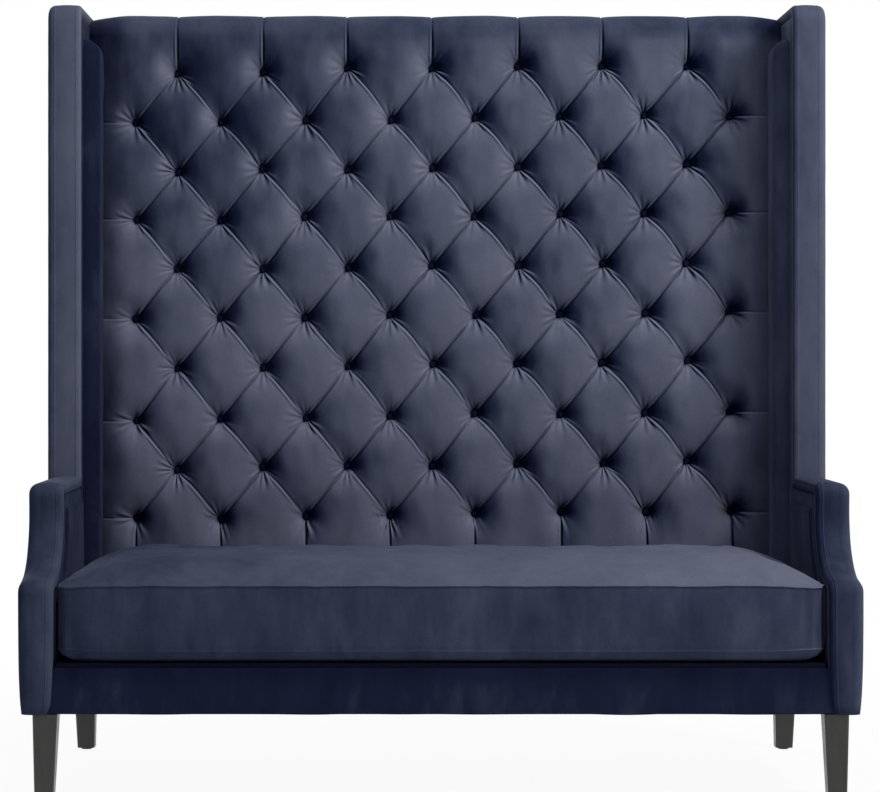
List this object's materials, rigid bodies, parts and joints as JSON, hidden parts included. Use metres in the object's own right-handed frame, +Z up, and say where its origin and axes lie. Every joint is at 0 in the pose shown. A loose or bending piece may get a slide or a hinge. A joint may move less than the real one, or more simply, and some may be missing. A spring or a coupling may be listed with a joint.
{
  "type": "high back settee",
  "caption": "Tall wing-sided settee with a deep-buttoned back, low scooped arms, one loose bench cushion and short tapered legs.",
  "frame": {"origin": "on the floor under the middle of the settee", "axes": "+X to the right of someone looking at the settee, the front faces -Y, +Z up"},
  "size_m": [1.7, 0.76, 1.663],
  "materials": {
    "velvet": "dark navy velvet",
    "frame_wood": "plain hardwood and plywood",
    "leg_wood": "black satin",
    "steel": "zinc plated",
    "glide_plastic": "matte",
    "webbing": "woven elastic",
    "deck_cloth": "dark platform cloth",
    "foam": "upholstery foam",
    "dust_cloth": "non-woven cloth",
    "zip_plastic": "nylon coil"
  },
  "bodies": {
    "settee": {"front_border": "velvet", "tufted_back": "velvet", "back_buttons": "velvet", "outside_back_panel": "velvet", "arm_facing_left": "velvet", "arm_facing_right": "velvet", "wing_facing_left": "velvet", "wing_facing_right": "velvet", "arm_pad_left": "velvet", "arm_pad_right": "velvet", "wing_pad_left": "velvet", "wing_pad_right": "velvet", "outside_arm_panel_left": "velvet", "outside_arm_panel_right": "velvet", "outside_wing_panel_left": "velvet", "outside_wing_panel_right": "velvet", "front_seat_rail": "frame_wood", "rear_seat_rail": "frame_wood", "seat_cross_rails": "frame_wood", "corner_blocks": "frame_wood", "back_top_rail": "frame_wood", "back_tack_rail": "frame_wood", "back_bottom_rail": "frame_wood", "back_uprights": "frame_wood", "side_seat_rail_left": "frame_wood", "side_seat_rail_right": "frame_wood", "arm_front_board_left": "frame_wood", "arm_front_board_right": "frame_wood", "arm_top_rail_left": "frame_wood", "arm_top_rail_right": "frame_wood", "side_bottom_rail_left": "frame_wood", "side_bottom_rail_right": "frame_wood", "wing_post_left": "frame_wood", "wing_post_right": "frame_wood", "wing_top_rail_left": "frame_wood", "wing_top_rail_right": "frame_wood", "rear_post_left": "frame_wood", "rear_post_right": "frame_wood", "back_stile_left": "frame_wood", "back_stile_right": "frame_wood", "leg_front_left": "leg_wood", "leg_front_right": "leg_wood", "leg_rear_left": "leg_wood", "leg_rear_right": "leg_wood", "leg_bolts": "steel", "leg_glides": "glide_plastic", "seat_webbing_lengthways": "webbing", "seat_webbing_crossways": "webbing", "back_webbing": "webbing", "seat_deck": "deck_cloth", "back_base_foam": "foam", "dust_cover": "dust_cloth"},
    "seat_cushion": {"seat_cushion_cover": "velvet", "seat_cushion_core": "foam", "cushion_zip": "zip_plastic"}
  },
  "joints": [
    {"name": "cushion_lift", "type": "slide", "parent": "settee", "child": "seat_cushion", "axis": [0, -0.9063, 0.4226], "range_m": [0, 0.9]}
  ]
}
